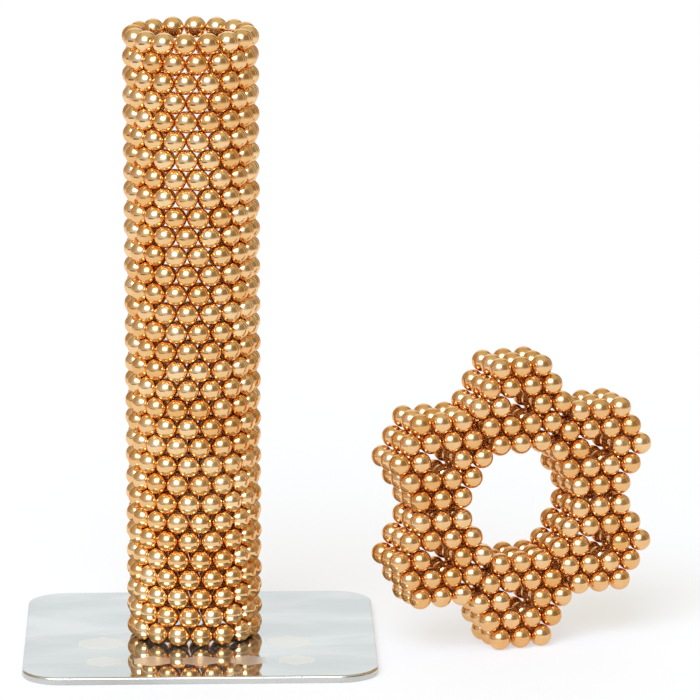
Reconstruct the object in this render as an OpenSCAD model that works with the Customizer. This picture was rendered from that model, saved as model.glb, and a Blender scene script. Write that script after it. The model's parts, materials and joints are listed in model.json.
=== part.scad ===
// Magnetic desk sculpture: a ball tower that stands on a steel plate, and a six-pointed
// star of hexagonal blocks that stands on the desk beside it. Every ball is a loose
// sphere magnet. Millimetres, +Z up, +X to the star's side and -Y to the front. The
// origin is the centre of the plate's underside.

/* [Balls] */
// Diameter of one plated sphere magnet
ball_d = 2.5; // [2:0.1:3]
// Film of air between balls that touch
ball_gap = 0.02; // [0.02:0.01:0.05]

/* [Tower] */
// Balls in one ring of the tower
ring_balls = 16; // [12:2:20]
// Sideways offset of the tower's axis from the plate's centre
tower_x = -0.6; // [-4:0.1:4]
// Turn of the first ring about the tower's axis, in degrees
tower_turn = 6.5; // [0:0.5:30]

/* [Plate] */
// Side of the square steel plate
plate_w = 39.8; // [30:0.1:60]
// Thickness of the plate
plate_t = 0.9; // [0.8:0.1:2]
// Radius of the plate's corners, seen from above
plate_corner_r = 4.5; // [2:0.5:8]
// Rounding of the plate's upper and lower edges
plate_edge_r = 0.3; // [0.1:0.05:0.35]

/* [Star] */
// Balls along one side of a hexagonal block
block_side = 3; // [2:1:3]
// Distance from the plate's right edge to the star's upright axis
star_gap = 15.5; // [15:0.1:40]
// Distance of that axis behind the plate's centre line, or in front of it below zero
star_y = -2; // [-20:0.1:20]
// Turn of the star about its upright axis, in degrees
star_turn = 20.5; // [-45:0.5:45]

/* [Hidden] */
$fn = 48;
GOLD = "#d99a4e";
STEEL = "#c9ced2";

// Distance between the centres of two balls that touch
pitch = ball_d + ball_gap;

// Tower: each ring is turned by half a ball against the ring below, so that its balls sit
// in the gaps between the lower ones.
RINGS = 32;
ring_step = 360 / ring_balls;
ring_r = pitch / (2 * sin(ring_step / 2));
half_ball_chord = 2 * ring_r * sin(ring_step / 4);
ring_rise = sqrt(pitch * pitch - half_ball_chord * half_ball_chord);
first_ring_z = plate_t + ball_gap + ball_d / 2;

// Star: each block is a flat hexagon of balls, three layers deep, with the middle balls
// left out. Six blocks meet edge to edge around an open middle, and the lowest row of the
// foot block stands on the desk.
row_rise = pitch * sqrt(3) / 2;
last = block_side - 1;
block_apothem = last * row_rise;
block_spacing = 2 * block_apothem + pitch;
star_x = plate_w / 2 + star_gap;
star_z = block_spacing + block_apothem + ball_d / 2;

// The layers of a block, from front to back, and the blocks by name and by angle from the
// star's middle, seen from the front.
LAYERS = ["front", "middle", "back"];
BLOCKS = [
    ["foot", 270],
    ["lower_right", 330],
    ["upper_right", 30],
    ["top", 90],
    ["upper_left", 150],
    ["lower_left", 210]
];

function ring_name(n) = str("tower_ring_", n < 10 ? "0" : "", n);
function layer_name(block, layer) = str("star_", block[0], "_", layer);

// One sphere magnet
module ball() {
    sphere(d = ball_d);
}

// Cross-section of the plate's rim, from a corner's centre out to the edge
module rim_section() {
    flat_reach = plate_corner_r - plate_edge_r;
    square([flat_reach, plate_t]);
    translate([0, plate_edge_r])
        square([plate_corner_r, plate_t - 2 * plate_edge_r]);
    for (z = [plate_edge_r, plate_t - plate_edge_r])
        translate([flat_reach, z]) circle(r = plate_edge_r);
}

// Square plate with rounded corners and softened edges
module base_plate() {
    inner_w = plate_w - 2 * plate_corner_r;
    color(STEEL) {
        translate([-inner_w / 2, -inner_w / 2, 0]) cube([inner_w, inner_w, plate_t]);
        for (side = [0 : 3])
            rotate(90 * side)
                translate([inner_w / 2, inner_w / 2, 0]) {
                    rotate_extrude(angle = 90) rim_section();
                    rotate([90, 0, 0]) linear_extrude(inner_w) rim_section();
                }
    }
}

// Ring number n of the tower, counted up from the plate
module tower_ring(n) {
    half_turns = (n - 1) % 2 / 2;
    color(GOLD)
        translate([tower_x, 0, first_ring_z + (n - 1) * ring_rise])
            for (i = [0 : ring_balls - 1])
                rotate(tower_turn + (i + half_turns) * ring_step)
                    translate([ring_r, 0, 0]) ball();
}

// A flat hexagon of balls that stands on edge, with its middle ball left out
module ball_hexagon() {
    for (row = [-last : last])
        for (i = [0 : 2 * last - abs(row)])
            if (row != 0 || i != last)
                translate([(i - last + abs(row) / 2) * pitch, 0, row * row_rise]) ball();
}

// One layer of the block at the given angle, where depth counts back from the middle layer
module star_layer(angle, depth) {
    color(GOLD)
        translate([star_x, star_y, star_z])
            rotate(star_turn)
                translate([
                    block_spacing * cos(angle),
                    depth * pitch,
                    block_spacing * sin(angle)
                ])
                    ball_hexagon();
}

base_plate();
for (n = [1 : RINGS])
    tower_ring(n);
for (block = BLOCKS)
    for (depth = [-1 : 1])
        star_layer(block[1], depth);
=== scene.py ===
"""Looks of the magnetic desk sculpture: gold-plated sphere magnets, stacked as a tower on a polished
steel plate and as a star beside it. Metres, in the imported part's own frame: +X to the star's side,
-Y to the front, +Z up."""

import collections
import itertools
import json
import math
import random

import bpy
import numpy as np
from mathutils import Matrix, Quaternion, Vector, geometry


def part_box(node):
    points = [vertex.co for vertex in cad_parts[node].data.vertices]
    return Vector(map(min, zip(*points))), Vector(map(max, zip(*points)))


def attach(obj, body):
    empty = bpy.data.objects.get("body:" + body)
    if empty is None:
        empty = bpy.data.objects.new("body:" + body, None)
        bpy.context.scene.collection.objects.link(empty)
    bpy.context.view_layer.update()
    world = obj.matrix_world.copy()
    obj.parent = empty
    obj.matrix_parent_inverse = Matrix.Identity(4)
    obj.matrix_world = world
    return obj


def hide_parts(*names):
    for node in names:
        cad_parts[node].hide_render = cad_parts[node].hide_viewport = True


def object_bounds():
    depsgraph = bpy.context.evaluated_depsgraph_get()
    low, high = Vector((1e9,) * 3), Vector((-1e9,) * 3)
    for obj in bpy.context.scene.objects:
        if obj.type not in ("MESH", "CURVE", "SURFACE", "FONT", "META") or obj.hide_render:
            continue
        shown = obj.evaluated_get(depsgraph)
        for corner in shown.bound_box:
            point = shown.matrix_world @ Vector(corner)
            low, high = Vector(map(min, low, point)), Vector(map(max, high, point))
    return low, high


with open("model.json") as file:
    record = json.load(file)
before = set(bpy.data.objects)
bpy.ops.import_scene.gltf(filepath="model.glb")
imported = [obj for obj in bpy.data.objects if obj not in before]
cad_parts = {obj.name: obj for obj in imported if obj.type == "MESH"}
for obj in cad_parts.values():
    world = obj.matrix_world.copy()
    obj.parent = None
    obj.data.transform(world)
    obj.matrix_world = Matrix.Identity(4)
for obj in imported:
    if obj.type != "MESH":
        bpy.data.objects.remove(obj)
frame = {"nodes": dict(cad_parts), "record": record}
cad_low, cad_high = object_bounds()

MM = 0.001

# ---------------------------------------------------------------- sizes

# Balls: each is a cube's grid spread over a sphere, with this many cells along a cube's edge
BALL_CELLS = 10

# Plate: corners seen from above, softened upper and lower edges, and the steps of their arcs
CORNER_RADIUS = 4.5 * MM
EDGE_RADIUS = 0.3 * MM
CORNER_STEPS = 16
SIDE_STEPS = 12
EDGE_STEPS = 7
JOIN_DISTANCE = 1e-7  # points of the top face closer than this are one point

# Frosted hexagons on the plate: a row in front of the tower, and one on each side of its foot
ROW_HEXAGONS = 5
ROW_RADIUS = 2.3 * MM
ROW_PITCH = 5.4 * MM
ROW_INSET = 7.2 * MM  # the row's middle line, from the plate's front edge
SIDE_RADIUS = 3.0 * MM
SIDE_GAP = 2.9 * MM  # from the foot's side to the hexagon's middle
SIDE_FORWARD = 4.5 * MM  # from the foot's middle to the front

# ---------------------------------------------------------------- looks of the object

# A noise pattern: its features per metre, the detail and roughness of the noise, the range of its
# values that counts, and the two values that this range is spread over
Pattern = collections.namedtuple("Pattern", "scale detail roughness range spread")

# Each set's share of copper in the plating, mean tone of its balls, from deep at 0 to pale at 1,
# spread of that tone, and least haze
SETS = {"tower": (0, 0.5, 0.3, 0.05), "star": (1, 0.48, 0.25, 0.3)}

# Plating: deep and pale colour without copper and with it, and what it reflects at a glancing angle
# as a share of its colour there
GOLDEN = ((0.82, 0.455, 0.165), (0.93, 0.655, 0.345))
COPPERY = ((0.775, 0.415, 0.145), (0.885, 0.58, 0.295))
EDGE_TINT = (1, 0.8, 0.72, 1)
CLOUDS = Pattern(650, 3, 0.6, (0.36, 0.64), (-0.15, 0.15))  # change of tone
# Roughness of clean plating, and what grain, hazy specks and the wear along scratches add to it
CLEAN_ROUGHNESS = 0.015
GRAIN = Pattern(4200, 4, 0.65, (0.35, 0.7), (0, 0.03))
SPECKS = Pattern(9000, 2, 0.5, (0.54, 0.60), (0, 0.35))
WEAR = Pattern(380, 2, 0.5, (0.5, 0.62), (0, 0.10))
SCRATCH_SCALE = 1500
SCRATCH_WIDTH = 0.012
HAIRLINE_BEND = 1.5  # how far scratches wander
# A thin film that isn't metal, thicker on hazy balls
FILM = Pattern(900, 3, 0.5, (0.35, 0.65), (0.02, 0.09))
FILM_ON_CLEAR_BALLS = 0.35
RIPPLE_SCALE = 2200
RIPPLE_STRENGTH = 0.25
RIPPLE_HEIGHT = 0.01 * MM

# Steel: darker and brighter streaks of the polished and of the frosted surface, how much of each
# counts as metal, and the streaks' features per metre along and across
POLISHED = ((0.52, 0.51, 0.475), (0.66, 0.645, 0.60))
POLISHED_METAL = 0.95
FROSTED = ((0.70, 0.66, 0.60), (0.76, 0.72, 0.66))
FROSTED_METAL = 0.8
FROST = Pattern(9000, 3, 0.7, (0.3, 0.7), (0.26, 0.38))  # roughness
FROST_HEIGHT = 0.01 * MM
STREAK_SCALES = (55, 120, 120)
STREAK_RANGE = (0.32, 0.68)
STREAK_BEND = 0.4
# Roughness of the polished face, what its streaks and scratches add, and the roughness of the rim
FACE_ROUGHNESS = 0.035
STREAK_ROUGHNESS = 0.03
FACE_SCRATCH_ROUGHNESS = 0.12
FACE_SCRATCH_SCALE = 260
FACE_SCRATCH_WIDTH = 0.004
RIM = Pattern(3000, 4, 0.7, (0.3, 0.7), (0.12, 0.32))
# Unevenness of the polished surface: slow waves, and nicks on the rim at a share of the waves' height
WAVE_SCALE = 170
WAVE_HEIGHT = 0.03 * MM
NICK_SHARE = 0.5
STEEL_BUMP = 0.3

# ---------------------------------------------------------------- camera and studio

# Camera: where it looks, from the middle of the model's box, and from where
LOOK_OFFSET = Vector((1.431, 0, -1.782)) * MM
CAMERA_AZIMUTH = -1.36
CAMERA_ELEVATION = 11.652
CAMERA_ROLL = -0.146
CAMERA_DISTANCE = 0.7301
CAMERA_LENS = 332.23
SENSOR_WIDTH = 36

# Softbox: its direction from the object, the angles from its middle between which its face fades out
# to the sides and up and down, those between which its halo fades out all round, and what face and
# halo add to the radiance
SOFTBOX_AZIMUTH = -18.5
SOFTBOX_ELEVATION = 40.5
SOFTBOX_FACE_WIDE = (8, 27)
SOFTBOX_FACE_TALL = (6, 22)
SOFTBOX_FACE_LIGHT = 8.5
SOFTBOX_HALO = (14, 39)
SOFTBOX_HALO_LIGHT = 0.45
SOFTBOX_COLOUR = (0.80, 0.93, 1.14)

# Studio walls: azimuth, and linear colour as a share of the radiance of white. 0 is the front and
# positive turns to the right. The white backdrop covers a narrow stretch behind the object, and two
# narrow bright strips stand at the right, about 88 and 123 degrees round.
WHITE_LIGHT = 1.07
WHITE = (1, 1, 1)
BACKDROP = (0.97, 1.04, 1.08)
WALLS = (
    (-180, BACKDROP),
    (-162, BACKDROP),
    (-150, (0.37, 0.31, 0.22)),
    (-90, (0.48, 0.37, 0.26)),
    (-55, (0.58, 0.62, 0.78)),
    (0, (0.57, 0.69, 1.10)),
    (30, (0.29, 0.225, 0.14)),
    (81, (0.28, 0.215, 0.13)),
    (88, (0.86, 0.72, 0.55)),
    (96, (0.31, 0.23, 0.12)),
    (114, (0.28, 0.22, 0.13)),
    (123, (0.95, 0.90, 0.80)),
    (132, (0.30, 0.25, 0.17)),
    (150, (0.30, 0.25, 0.17)),
    (162, BACKDROP),
    (180, BACKDROP),
)
# The walls turn into the ceiling between these elevations
CEILING = (0.62, 0.58, 0.40)
CEILING_FROM = 37
CEILING_TO = 58

# Floor: a sheet of white acrylic that is also lit from below, and is slightly uneven in colour
FLOOR_SIZE = 6.0
FLOOR_COLOUR = (0.40, 0.39, 0.385)
FLOOR_DARKEST = 0.985
FLOOR_CLOUD_SCALE = 120
FLOOR_GLOW = 0.56
FLOOR_ROUGHNESS = 0.9
FLOOR_GLOSS = 0.1
# The glow that reaches everything but the camera falls off with distance, between these two
FLOOR_DIM_FROM = 150 * MM
FLOOR_DIM_TO = 500 * MM
FLOOR_DIM_GLOW = (0.18, 0.11, 0.08)

# A dark card on the floor at the front left, which only mirrors see: a painted dark reflection on the
# balls
REFLECTION_CARD_AZIMUTH = -50
REFLECTION_CARD_NEAR = 155 * MM
REFLECTION_CARD_FAR = 430 * MM
REFLECTION_CARD_WIDTH = 280 * MM
REFLECTION_CARD_LIFT = 0.5 * MM
REFLECTION_CARD_COLOURS = ((0.13, 0.075, 0.045), (0.15, 0.09, 0.055))
REFLECTION_CARD_ROUGHNESS = 0.9
REFLECTION_CARD_SCALE = 300


def direction(azimuth, elevation):
    """Unit vector away from the object: azimuth 0 is the front, and positive turns to the right."""
    a, e = math.radians(azimuth), math.radians(elevation)
    return Vector((math.sin(a) * math.cos(e), -math.cos(a) * math.cos(e), math.sin(e)))


# ---------------------------------------------------------------- material nodes


def add_node(tree, kind, inputs=None, **settings):
    """A new node with its settings. Each input is set to a value, or linked to another node's output."""
    made = tree.nodes.new(kind)
    for name, value in settings.items():
        setattr(made, name, value)
    for key, value in (inputs or {}).items():
        if isinstance(value, bpy.types.NodeSocket):
            tree.links.new(value, made.inputs[key])
        else:
            made.inputs[key].default_value = value
    return made


def math_node(tree, operation, *values):
    """The result of a Math node."""
    return add_node(tree, "ShaderNodeMath", dict(enumerate(values)), operation=operation).outputs[0]


def dot_product(tree, first, second):
    """The dot product of two vectors."""
    inputs = {0: first, 1: second}
    made = add_node(tree, "ShaderNodeVectorMath", inputs, operation="DOT_PRODUCT")
    return made.outputs["Value"]


def between(tree, value, low, high, to_low=0.0, to_high=1.0):
    """A value that runs smoothly from to_low to to_high as the given one runs from low to high."""
    inputs = {"Value": value, "From Min": low, "From Max": high, "To Min": to_low, "To Max": to_high}
    made = add_node(tree, "ShaderNodeMapRange", inputs, interpolation_type="SMOOTHSTEP")
    return made.outputs["Result"]


def noise(tree, coordinates, scale, detail=2.0, roughness=0.5, distortion=0.0):
    """The value of a noise texture, with its scale in features per metre."""
    inputs = {
        "Vector": coordinates,
        "Scale": scale,
        "Detail": detail,
        "Roughness": roughness,
        "Distortion": distortion,
    }
    return add_node(tree, "ShaderNodeTexNoise", inputs).outputs["Fac"]


def pattern(tree, coordinates, look):
    """The spread value of a Pattern, and its bare noise."""
    bare = noise(tree, coordinates, look.scale, look.detail, look.roughness)
    return between(tree, bare, *look.range, *look.spread), bare


def mix_colours(tree, share, first, second):
    """The first colour turned into the second by the given share. The node's colours are its inputs
    6 and 7 and its output 2."""
    made = add_node(tree, "ShaderNodeMix", {"Factor": share}, data_type="RGBA")
    for index, value in ((6, first), (7, second)):
        if isinstance(value, bpy.types.NodeSocket):
            tree.links.new(value, made.inputs[index])
        else:
            made.inputs[index].default_value = (*value, 1)
    return made.outputs[2]


def mesh_attribute(tree, name):
    """The number that the mesh carries under a name."""
    return add_node(tree, "ShaderNodeAttribute", attribute_name=name).outputs["Fac"]


def add_bump(tree, shader, height, strength, distance):
    """Shades the surface as if the height raised it by up to the given distance."""
    inputs = {"Height": height, "Strength": strength, "Distance": distance}
    bump = add_node(tree, "ShaderNodeBump", inputs)
    tree.links.new(bump.outputs["Normal"], shader.inputs["Normal"])


def new_material(name):
    """A new node material, with its tree, its shader and the object's own coordinates."""
    material = bpy.data.materials.new(name)
    material.use_nodes = True
    tree = material.node_tree
    shader = tree.nodes["Principled BSDF"]
    coordinates = tree.nodes.new("ShaderNodeTexCoord").outputs["Object"]
    return material, tree, shader, coordinates


# ---------------------------------------------------------------- materials


def hairlines(tree, coordinates, scale, width):
    """1 on thin wandering lines and 0 elsewhere, where a slow noise crosses its middle."""
    wander = noise(tree, coordinates, scale, detail=1.0, distortion=HAIRLINE_BEND)
    off_line = math_node(tree, "ABSOLUTE", math_node(tree, "SUBTRACT", wander, 0.5))
    return between(tree, off_line, 0, width, 1, 0)


def plating_colour(tree, coordinates):
    """The colour of a ball, from its tone and its copper, with faint clouds."""
    clouds = pattern(tree, coordinates, CLOUDS)[0]
    share = math_node(tree, "ADD", mesh_attribute(tree, "ball_tone"), clouds)
    golden = mix_colours(tree, share, *GOLDEN)
    coppery = mix_colours(tree, share, *COPPERY)
    return mix_colours(tree, mesh_attribute(tree, "ball_copper"), golden, coppery)


def plating_roughness(tree, coordinates, haze):
    """Nearly a mirror, with fine grain, specks on the hazy balls and a few worn scratches."""
    grain = pattern(tree, coordinates, GRAIN)[0]
    specks = math_node(tree, "MULTIPLY", haze, pattern(tree, coordinates, SPECKS)[0])
    scratches = hairlines(tree, coordinates, SCRATCH_SCALE, SCRATCH_WIDTH)
    worn = math_node(tree, "MULTIPLY", scratches, pattern(tree, coordinates, WEAR)[0])
    dull = math_node(tree, "ADD", grain, specks)
    return math_node(tree, "ADD", math_node(tree, "ADD", dull, worn), CLEAN_ROUGHNESS)


def plating_metal(tree, coordinates, haze):
    """How much of the surface counts as metal: all but the film."""
    thickness = math_node(tree, "ADD", haze, FILM_ON_CLEAR_BALLS)
    film = math_node(tree, "MULTIPLY", pattern(tree, coordinates, FILM)[0], thickness)
    return math_node(tree, "SUBTRACT", 1.0, film)


def gold_plating():
    """Mirror-bright gold plating with some copper, a little deeper or paler from ball to ball."""
    material, tree, shader, coordinates = new_material("gold_plating")
    haze = mesh_attribute(tree, "ball_haze")
    tree.links.new(plating_colour(tree, coordinates), shader.inputs["Base Color"])
    tree.links.new(plating_roughness(tree, coordinates, haze), shader.inputs["Roughness"])
    tree.links.new(plating_metal(tree, coordinates, haze), shader.inputs["Metallic"])
    shader.inputs["Specular Tint"].default_value = EDGE_TINT
    ripple = noise(tree, coordinates, RIPPLE_SCALE)
    add_bump(tree, shader, ripple, RIPPLE_STRENGTH, RIPPLE_HEIGHT)
    return material


def rolled_streaks(tree, coordinates):
    """Soft streaks along X, from the rolling of the sheet, from about 0 to 1."""
    inputs = {"Vector": coordinates, "Scale": STREAK_SCALES}
    stretched = add_node(tree, "ShaderNodeMapping", inputs).outputs["Vector"]
    broad = noise(tree, stretched, 1, detail=3, distortion=STREAK_BEND)
    return between(tree, broad, *STREAK_RANGE)


def polished_steel():
    """Rolled sheet steel with a bright polish, faint cloudy streaks and a rougher rim."""
    material, tree, shader, coordinates = new_material("polished_steel")
    streaks = rolled_streaks(tree, coordinates)
    tree.links.new(mix_colours(tree, streaks, *POLISHED), shader.inputs["Base Color"])

    rim = mesh_attribute(tree, "rim")
    rim_roughness, grain = pattern(tree, coordinates, RIM)
    cloudy = math_node(tree, "MULTIPLY", streaks, STREAK_ROUGHNESS)
    face_roughness = math_node(tree, "ADD", cloudy, FACE_ROUGHNESS)
    inputs = {"Factor": rim, "A": face_roughness, "B": rim_roughness}
    smooth = add_node(tree, "ShaderNodeMix", inputs).outputs[0]
    lines = hairlines(tree, coordinates, FACE_SCRATCH_SCALE, FACE_SCRATCH_WIDTH)
    scratches = math_node(tree, "MULTIPLY", lines, FACE_SCRATCH_ROUGHNESS)
    tree.links.new(math_node(tree, "ADD", smooth, scratches), shader.inputs["Roughness"])

    waves = noise(tree, coordinates, WAVE_SCALE)
    nicks = math_node(tree, "MULTIPLY", math_node(tree, "MULTIPLY", grain, rim), NICK_SHARE)
    add_bump(tree, shader, math_node(tree, "ADD", waves, nicks), STEEL_BUMP, WAVE_HEIGHT)
    shader.inputs["Metallic"].default_value = POLISHED_METAL
    return material


def frosted_steel():
    """The same steel where it is etched matt."""
    material, tree, shader, coordinates = new_material("frosted_steel")
    streaks = rolled_streaks(tree, coordinates)
    tree.links.new(mix_colours(tree, streaks, *FROSTED), shader.inputs["Base Color"])
    roughness, grain = pattern(tree, coordinates, FROST)
    tree.links.new(roughness, shader.inputs["Roughness"])
    add_bump(tree, shader, grain, STEEL_BUMP, FROST_HEIGHT)
    shader.inputs["Metallic"].default_value = FROSTED_METAL
    return material


def painted_reflection_card():
    """Dark brown card, seen only in mirrors: a painted dark reflection on the balls."""
    material, tree, shader, coordinates = new_material("painted_reflection_card")
    card_mottle = noise(tree, coordinates, REFLECTION_CARD_SCALE, detail=3)
    tree.links.new(mix_colours(tree, card_mottle, *REFLECTION_CARD_COLOURS), shader.inputs["Base Color"])
    shader.inputs["Roughness"].default_value = REFLECTION_CARD_ROUGHNESS
    return material


def floor_glow(tree, coordinates):
    """The light from below: even for the camera, and falling off with distance for everything else."""
    made = add_node(tree, "ShaderNodeVectorMath", {0: coordinates}, operation="LENGTH")
    far = between(tree, made.outputs["Value"], FLOOR_DIM_FROM, FLOOR_DIM_TO)
    seen = tree.nodes.new("ShaderNodeLightPath").outputs["Is Camera Ray"]
    dim = math_node(tree, "MULTIPLY", far, math_node(tree, "SUBTRACT", 1.0, seen))
    return mix_colours(tree, dim, (FLOOR_GLOW,) * 3, FLOOR_DIM_GLOW)


def floor_acrylic():
    """Plain white acrylic that glows a little."""
    material, tree, shader, coordinates = new_material("floor_acrylic")
    clouds = noise(tree, coordinates, FLOOR_CLOUD_SCALE, detail=3)
    darkest = tuple(FLOOR_DARKEST * channel for channel in FLOOR_COLOUR)
    tree.links.new(mix_colours(tree, clouds, darkest, FLOOR_COLOUR), shader.inputs["Base Color"])
    shader.inputs["Roughness"].default_value = FLOOR_ROUGHNESS
    shader.inputs["Specular IOR Level"].default_value = FLOOR_GLOSS
    shader.inputs["Emission Strength"].default_value = 1
    tree.links.new(floor_glow(tree, coordinates), shader.inputs["Emission Color"])
    return material


# ---------------------------------------------------------------- meshes


def new_piece(name, vertices, faces, normals, materials):
    """A smooth mesh object with the given normal at each vertex."""
    mesh = bpy.data.meshes.new(name)
    mesh.from_pydata(vertices, [], faces)
    mesh.shade_smooth()
    mesh.normals_split_custom_set_from_vertices(normals)
    for material in materials:
        mesh.materials.append(material)
    piece = bpy.data.objects.new(name, mesh)
    bpy.context.scene.collection.objects.link(piece)
    return piece


def add_attribute(piece, name, values):
    """One number for each vertex of the piece, which its material reads by name."""
    attribute = piece.data.attributes.new(name, "FLOAT", "POINT")
    attribute.data.foreach_set("value", np.asarray(values, np.float32))


def unit_ball():
    """Unit vectors and quads of a cube's grid spread evenly over a sphere."""
    numbers, quads = {}, []
    steps = range(BALL_CELLS)
    for axis, side, i, j in itertools.product(range(3), (0, BALL_CELLS), steps, steps):
        square = [(i, j), (i + 1, j), (i + 1, j + 1), (i, j + 1)]
        if side == 0:
            square.reverse()
        cells = [tuple(np.roll((side, a, b), axis).tolist()) for a, b in square]
        quads.append([numbers.setdefault(cell, len(numbers)) for cell in cells])
    points = np.tan((np.array(list(numbers)) / BALL_CELLS - 0.5) * math.pi / 2)
    return points / np.linalg.norm(points, axis=1)[:, None], np.array(quads)


def islands(mesh):
    """For each vertex of a mesh, the lowest vertex number in its connected island."""
    edges = np.empty(len(mesh.edges) * 2, np.int64)
    mesh.edges.foreach_get("vertices", edges)
    first, second = edges.reshape(-1, 2).T
    label = np.arange(len(mesh.vertices))
    while True:
        lowest = np.minimum(label[first], label[second])
        new = label.copy()
        np.minimum.at(new, first, lowest)
        np.minimum.at(new, second, lowest)
        new = new[new]
        if (new == label).all():
            return label
        label = new


def ball_centres(node):
    """The centre of each ball in a CAD node: the middle of the box round each island of its mesh."""
    mesh = frame["nodes"][node].data
    points = np.empty(len(mesh.vertices) * 3, np.float32)
    mesh.vertices.foreach_get("co", points)
    points = points.reshape(-1, 3).astype(float)
    label = islands(mesh)
    groups = [points[label == which] for which in np.unique(label)]
    return np.array([(group.min(0) + group.max(0)) / 2 for group in groups])


def make_balls(node, body, radius, template, material):
    """One piece that stands for a CAD node of balls, each ball with its own tone and haze."""
    unit, quads = template
    chance = random.Random(node)
    centres = ball_centres(node)
    vertices = (centres[:, None] + radius * unit[None]).reshape(-1, 3)
    faces = (quads[None] + len(unit) * np.arange(len(centres))[:, None, None]).reshape(-1, 4)
    normals = np.tile(unit, (len(centres), 1))
    piece = new_piece(node + "_balls", vertices.tolist(), faces.tolist(), normals.tolist(), [material])
    copper, mean, spread, least_haze = SETS[node.split("_")[0]]
    tones = [min(max(chance.gauss(mean, spread), 0), 1) for _ in centres]
    hazes = [least_haze + (1 - least_haze) * chance.random() ** 2 for _ in centres]
    add_attribute(piece, "ball_tone", np.repeat(tones, len(unit)))
    add_attribute(piece, "ball_haze", np.repeat(hazes, len(unit)))
    add_attribute(piece, "ball_copper", [copper] * len(vertices))
    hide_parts(node)
    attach(piece, body)


def make_all_balls():
    """Every ball of the tower and of the star, as large as those of the lowest ring."""
    gold = gold_plating()
    ring_low, ring_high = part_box("tower_ring_01")
    radius = (ring_high.z - ring_low.z) / 2
    template = unit_ball()
    for body, nodes in frame["record"]["behaviour"]["bodies"].items():
        for node in nodes:
            if node != "base_plate":
                make_balls(node, body, radius, template, gold)


def plate_outline(middle, half):
    """Points on the corner arcs' centre lines and the outward directions, all round the plate."""
    signs = [(1, 1), (-1, 1), (-1, -1), (1, -1)]
    centres = [middle + Vector((x * half.x, y * half.y)) for x, y in signs]
    quarter = math.pi / 2
    outline = []
    for corner, centre in enumerate(centres):
        for step in range(CORNER_STEPS):
            angle = corner * quarter + step / CORNER_STEPS * quarter
            outline.append((centre, Vector((math.cos(angle), math.sin(angle)))))
        angle = (corner + 1) * quarter
        next_centre = centres[(corner + 1) % len(centres)]
        for step in range(SIDE_STEPS):
            base = centre.lerp(next_centre, step / SIDE_STEPS)
            outline.append((base, Vector((math.cos(angle), math.sin(angle)))))
    return outline


def edge_profile(low_z, high_z):
    """The rim's section, from the top face down: inset, height, and outward and upward normal."""
    section = []
    for step in range(EDGE_STEPS + 1):
        angle = math.pi / 2 * (1 - step / EDGE_STEPS)
        out, up = math.cos(angle), math.sin(angle)
        section.append((EDGE_RADIUS * (1 - out), high_z - EDGE_RADIUS * (1 - up), out, up))
    below = [(inset, low_z + high_z - z, out, -up) for inset, z, out, up in reversed(section)]
    return section + below


def hexagon(centre, radius):
    """Corners of a regular hexagon, the first one straight behind its centre."""
    turns = [math.radians(60 * side + 90) for side in range(6)]
    return [centre + radius * Vector((math.cos(turn), math.sin(turn))) for turn in turns]


def frosted_outlines(plate_low, plate_high):
    """The row of hexagons in front of the tower, and the two beside its foot."""
    foot_low, foot_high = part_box("tower_ring_01")
    row_centre = Vector(((plate_low.x + plate_high.x) / 2, plate_low.y + ROW_INSET))
    outlines = []
    for number in range(ROW_HEXAGONS):
        along = Vector(((number - (ROW_HEXAGONS - 1) / 2) * ROW_PITCH, 0))
        outlines.append(hexagon(row_centre + along, ROW_RADIUS))
    middle_y = (foot_low.y + foot_high.y) / 2 - SIDE_FORWARD
    for x in (foot_low.x - SIDE_GAP, foot_high.x + SIDE_GAP):
        outlines.append(hexagon(Vector((x, middle_y)), SIDE_RADIUS))
    return outlines


def inside(point, outline):
    """Whether a point lies inside a convex outline that runs anticlockwise."""
    for start, end in zip(outline, outline[1:] + outline[:1]):
        if (end - start).cross(point - start) < 0:
            return False
    return True


def rim_mesh(outline, profile):
    """Vertices, normals and quads of the band round the plate, from its top face to its underside."""
    vertices, normals, faces = [], [], []
    for inset, z, out, up in profile:
        for base, away in outline:
            vertices.append((*(base + away * (CORNER_RADIUS - inset)), z))
            normals.append((*(away * out), up))
    count = len(outline)
    for ring in range(len(profile) - 1):
        top, below = ring * count, (ring + 1) * count
        for i in range(count):
            j = (i + 1) % count
            faces.append((top + j, top + i, below + i, below + j))
    return vertices, normals, faces


def loop_edges(start, count):
    """The edges of a closed loop of points that are numbered from start."""
    return [(start + i, start + (i + 1) % count) for i in range(count)]


def cut_face(border, marks):
    """A flat face cut along the marks: its points, its triangles, and the given points behind each."""
    given = list(border)
    edges = loop_edges(0, len(border))
    for mark in marks:
        edges += loop_edges(len(given), len(mark))
        given += mark
    inside_border = 1
    cut = geometry.delaunay_2d_cdt(given, edges, [], inside_border, JOIN_DISTANCE)
    return cut[0], cut[2], cut[3]


def add_top(vertices, normals, faces, count, marks):
    """Closes the plate's top, inside its first ring of vertices. Returns its frosted faces' numbers."""
    height = vertices[0][2]
    border = [Vector(vertex[:2]) for vertex in vertices[:count]]
    points, triangles, sources = cut_face(border, marks)
    place = []
    for point, source in zip(points, sources):
        if source and source[0] < count:
            place.append(source[0])
        else:
            place.append(len(vertices))
            vertices.append((*point, height))
            normals.append((0, 0, 1))
    frosted = []
    for triangle in triangles:
        centre = sum((points[i] for i in triangle), Vector((0, 0))) / len(triangle)
        if any(inside(centre, mark) for mark in marks):
            frosted.append(len(faces))
        faces.append([place[i] for i in triangle])
    return frosted


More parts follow.
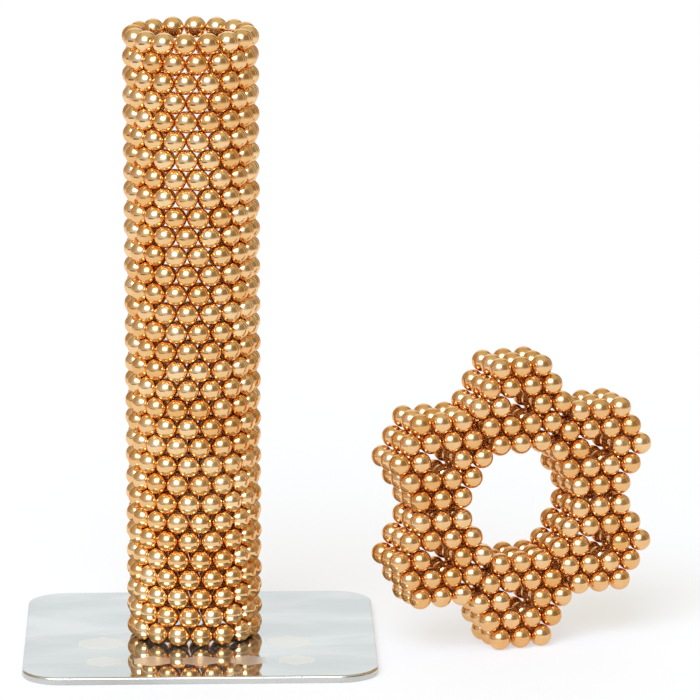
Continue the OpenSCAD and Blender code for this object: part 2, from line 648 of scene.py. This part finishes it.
def make_plate():
    """The steel plate: a flat top with frosted marks, rounded edges and a flat underside."""
    low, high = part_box("base_plate")
    middle = ((low + high) / 2).to_2d()
    half = ((high - low) / 2).to_2d() - Vector((CORNER_RADIUS, CORNER_RADIUS))
    outline = plate_outline(middle, half)
    vertices, normals, faces = rim_mesh(outline, edge_profile(low.z, high.z))
    count = len(outline)
    last_ring = len(vertices) - count
    frosted_faces = add_top(vertices, normals, faces, count, frosted_outlines(low, high))
    faces.append([last_ring + i for i in reversed(range(count))])

    materials = [polished_steel(), frosted_steel()]
    plate = new_piece("steel_plate", vertices, faces, normals, materials)
    for number in frosted_faces:
        plate.data.polygons[number].material_index = 1
    add_attribute(plate, "rim", [count <= i < last_ring for i in range(len(vertices))])
    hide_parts("base_plate")
    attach(plate, "base")


# ---------------------------------------------------------------- studio


def make_floor():
    """A wide sheet of white acrylic under the object."""
    reach = FLOOR_SIZE / 2
    corners = [(-reach, -reach, 0), (reach, -reach, 0), (reach, reach, 0), (-reach, reach, 0)]
    floor = new_piece("floor", corners, [(0, 1, 2, 3)], [(0, 0, 1)] * 4, [floor_acrylic()])
    floor.location.z = cad_low.z


def make_painted_reflection_card():
    """The dark card of painted reflection, as far from the tower's foot as its sizes above say."""
    foot_low, foot_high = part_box("tower_ring_01")
    start = (foot_low + foot_high) / 2
    start.z = cad_low.z + REFLECTION_CARD_LIFT
    away = direction(REFLECTION_CARD_AZIMUTH, 0)
    across = away.cross(Vector((0, 0, 1))) * REFLECTION_CARD_WIDTH / 2
    near, far = start + away * REFLECTION_CARD_NEAR, start + away * REFLECTION_CARD_FAR
    corners = [near - across, near + across, far + across, far - across]
    card = new_piece("painted_dark_reflection", corners, [(0, 1, 2, 3)], [(0, 0, 1)] * 4, [painted_reflection_card()])
    # Only mirrors see this card: it paints a dark reflection on the balls, and casts no shadow and no
    # bounce light
    card.visible_camera = False
    card.visible_diffuse = False
    card.visible_shadow = False


def wall_colours(tree, azimuth):
    """The colour of the walls by azimuth, in radians."""
    inputs = {"Value": azimuth, "From Min": -math.pi, "From Max": math.pi}
    share = add_node(tree, "ShaderNodeMapRange", inputs).outputs["Result"]
    ramp = add_node(tree, "ShaderNodeValToRGB", {"Fac": share})
    stops = ramp.color_ramp.elements
    for stop, (turn, colour) in enumerate(WALLS):
        place = (turn + 180) / 360
        if stop >= len(stops):
            stops.new(place)
        stops[stop].position = place
        stops[stop].color = (*colour, 1)
    return ramp.outputs["Color"]


def face_share(tree, toward, axis, fade):
    """1 near the softbox's middle and 0 far from it along an axis, with the fade's two angles."""
    off_middle = math_node(tree, "ABSOLUTE", dot_product(tree, toward, axis))
    inner, outer = (math.sin(math.radians(angle)) for angle in fade)
    return between(tree, off_middle, inner, outer, 1, 0)


def softbox_shares(tree, toward):
    """How much of the softbox's face and of its halo lies in a direction, from 0 to 1."""
    middle = direction(SOFTBOX_AZIMUTH, SOFTBOX_ELEVATION)
    across = middle.cross(Vector((0, 0, 1))).normalized()
    facing = dot_product(tree, toward, middle)
    wide = face_share(tree, toward, across, SOFTBOX_FACE_WIDE)
    tall = face_share(tree, toward, across.cross(middle), SOFTBOX_FACE_TALL)
    in_front = math_node(tree, "GREATER_THAN", facing, 0.0)
    face = math_node(tree, "MULTIPLY", math_node(tree, "MULTIPLY", wide, tall), in_front)
    inner, outer = (math.cos(math.radians(angle)) for angle in SOFTBOX_HALO)
    return face, between(tree, facing, outer, inner)


def make_studio():
    """The light, by direction: a softbox up at the front left, a white backdrop behind, cool walls in
    front, dark warm ones elsewhere with two bright strips at the right, and a ceiling. Whatever shows
    past the floor is plain white."""
    world = bpy.data.worlds.new("studio")
    world.use_nodes = True
    bpy.context.scene.world = world
    tree = world.node_tree
    toward = tree.nodes.new("ShaderNodeTexCoord").outputs["Generated"]
    x, y, z = add_node(tree, "ShaderNodeSeparateXYZ", {0: toward}).outputs
    azimuth = math_node(tree, "ARCTAN2", x, math_node(tree, "MULTIPLY", y, -1.0))
    low, high = (math.sin(math.radians(angle)) for angle in (CEILING_FROM, CEILING_TO))
    room = mix_colours(tree, between(tree, z, low, high), wall_colours(tree, azimuth), CEILING)

    face, halo = softbox_shares(tree, toward)
    colour = mix_colours(tree, halo, room, SOFTBOX_COLOUR)
    face_light = math_node(tree, "MULTIPLY", face, SOFTBOX_FACE_LIGHT)
    halo_light = math_node(tree, "MULTIPLY", halo, SOFTBOX_HALO_LIGHT)
    added = math_node(tree, "ADD", face_light, halo_light)
    background = tree.nodes["Background"]
    seen = tree.nodes.new("ShaderNodeLightPath").outputs["Is Camera Ray"]
    tree.links.new(mix_colours(tree, seen, colour, WHITE), background.inputs["Color"])
    tree.links.new(math_node(tree, "ADD", added, WHITE_LIGHT), background.inputs["Strength"])


def make_camera(target):
    """The camera, at the photograph's viewing angle."""
    lens = bpy.data.cameras.new("camera")
    lens.lens = CAMERA_LENS
    lens.sensor_width = SENSOR_WIDTH
    camera = bpy.data.objects.new("camera", lens)
    away = direction(CAMERA_AZIMUTH, CAMERA_ELEVATION)
    camera.location = target + away * CAMERA_DISTANCE
    camera.rotation_mode = "QUATERNION"
    level = (-away).to_track_quat("-Z", "Y")
    camera.rotation_quaternion = level @ Quaternion((0, 0, 1), math.radians(CAMERA_ROLL))
    bpy.context.scene.collection.objects.link(camera)
    bpy.context.scene.camera = camera


# ---------------------------------------------------------------- the scene


make_all_balls()
make_plate()
make_floor()
# A dark card that only mirrors see: a painted dark reflection on the balls
make_painted_reflection_card()
make_studio()
make_camera((cad_low + cad_high) / 2 + LOOK_OFFSET)
bpy.context.scene.view_settings.view_transform = "Standard"
